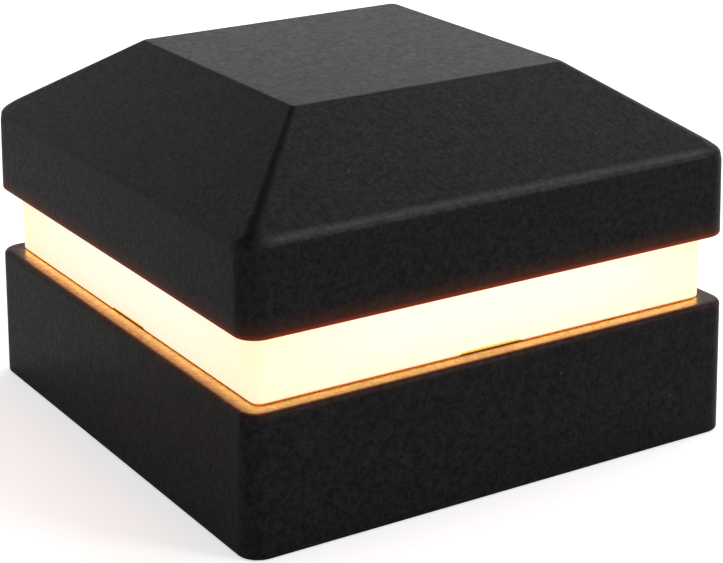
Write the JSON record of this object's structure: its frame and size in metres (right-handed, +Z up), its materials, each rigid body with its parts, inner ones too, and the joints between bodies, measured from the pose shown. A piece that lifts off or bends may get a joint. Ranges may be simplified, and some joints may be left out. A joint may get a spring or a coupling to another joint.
{
  "type": "deck post cap light",
  "caption": "Square black post cap light: hipped cast roof over a lit opal band, and a skirt that drops over a post end. The lamp head lifts off the base.",
  "frame": {"origin": "middle of the bottom rim of the skirt, on the surface that the part stands on", "axes": "+Z up along the post, the shortest extent; +X and +Y square to the sides; -Y is the front, which is the wide lit side in the picture"},
  "size_m": [0.1024, 0.1024, 0.0694],
  "materials": {
    "black_coating": "fine sand-textured black powder coat",
    "opal": "smooth opal, lit warm white",
    "dark_seal": "dull dark silicone",
    "black_rubber": "dull black rubber",
    "white_film": "matt white reflector film",
    "white_enamel": "smooth white coat on sheet metal",
    "white_board": "white solder mask",
    "light_package": "yellow light package",
    "zinc": "zinc-plated steel",
    "white_nylon": "white nylon",
    "green_board": "green solder mask",
    "green_moulding": "green moulding",
    "black_moulding": "black moulding compound",
    "ferrite": "dark grey ferrite",
    "blue_sleeve": "dark blue sleeve",
    "fuse_body": "green glass-fibre body",
    "natural_nylon": "natural nylon",
    "red_insulation": "red wire insulation",
    "black_insulation": "black wire insulation"
  },
  "bodies": {
    "base": {"base_skirt": "black_coating", "base_gasket": "dark_seal", "deck_reflector": "white_film", "cable_grommet": "black_rubber", "ball_studs": "zinc"},
    "head": {"roof_cap": "black_coating", "roof_gasket": "dark_seal", "diffuser": "opal", "led_carrier": "white_enamel", "led_board_front": "white_board", "led_board_back": "white_board", "led_board_left": "white_board", "led_board_right": "white_board", "leds_front": "light_package", "leds_back": "light_package", "leds_left": "light_package", "leds_right": "light_package", "led_board_screws": "zinc", "carrier_screws": "zinc", "carrier_washers": "zinc", "snap_sockets": "white_nylon", "driver_board": "green_board", "driver_screws": "zinc", "terminal_block": "green_moulding", "terminal_clamps": "zinc", "terminal_screws": "zinc", "bridge_rectifier": "black_moulding", "smoothing_capacitor": "blue_sleeve", "choke": "ferrite", "driver_chip": "black_moulding", "fuse": "fuse_body", "output_header": "natural_nylon", "output_plug": "natural_nylon", "feed_wire_red": "red_insulation", "feed_wire_black": "black_insulation", "jumper_wires_red": "red_insulation", "jumper_wires_black": "black_insulation"}
  },
  "joints": [
    {"name": "head_lift", "type": "slide", "parent": "base", "child": "head", "axis": [0, 0, 1], "range_m": [0, 0.05]}
  ]
}
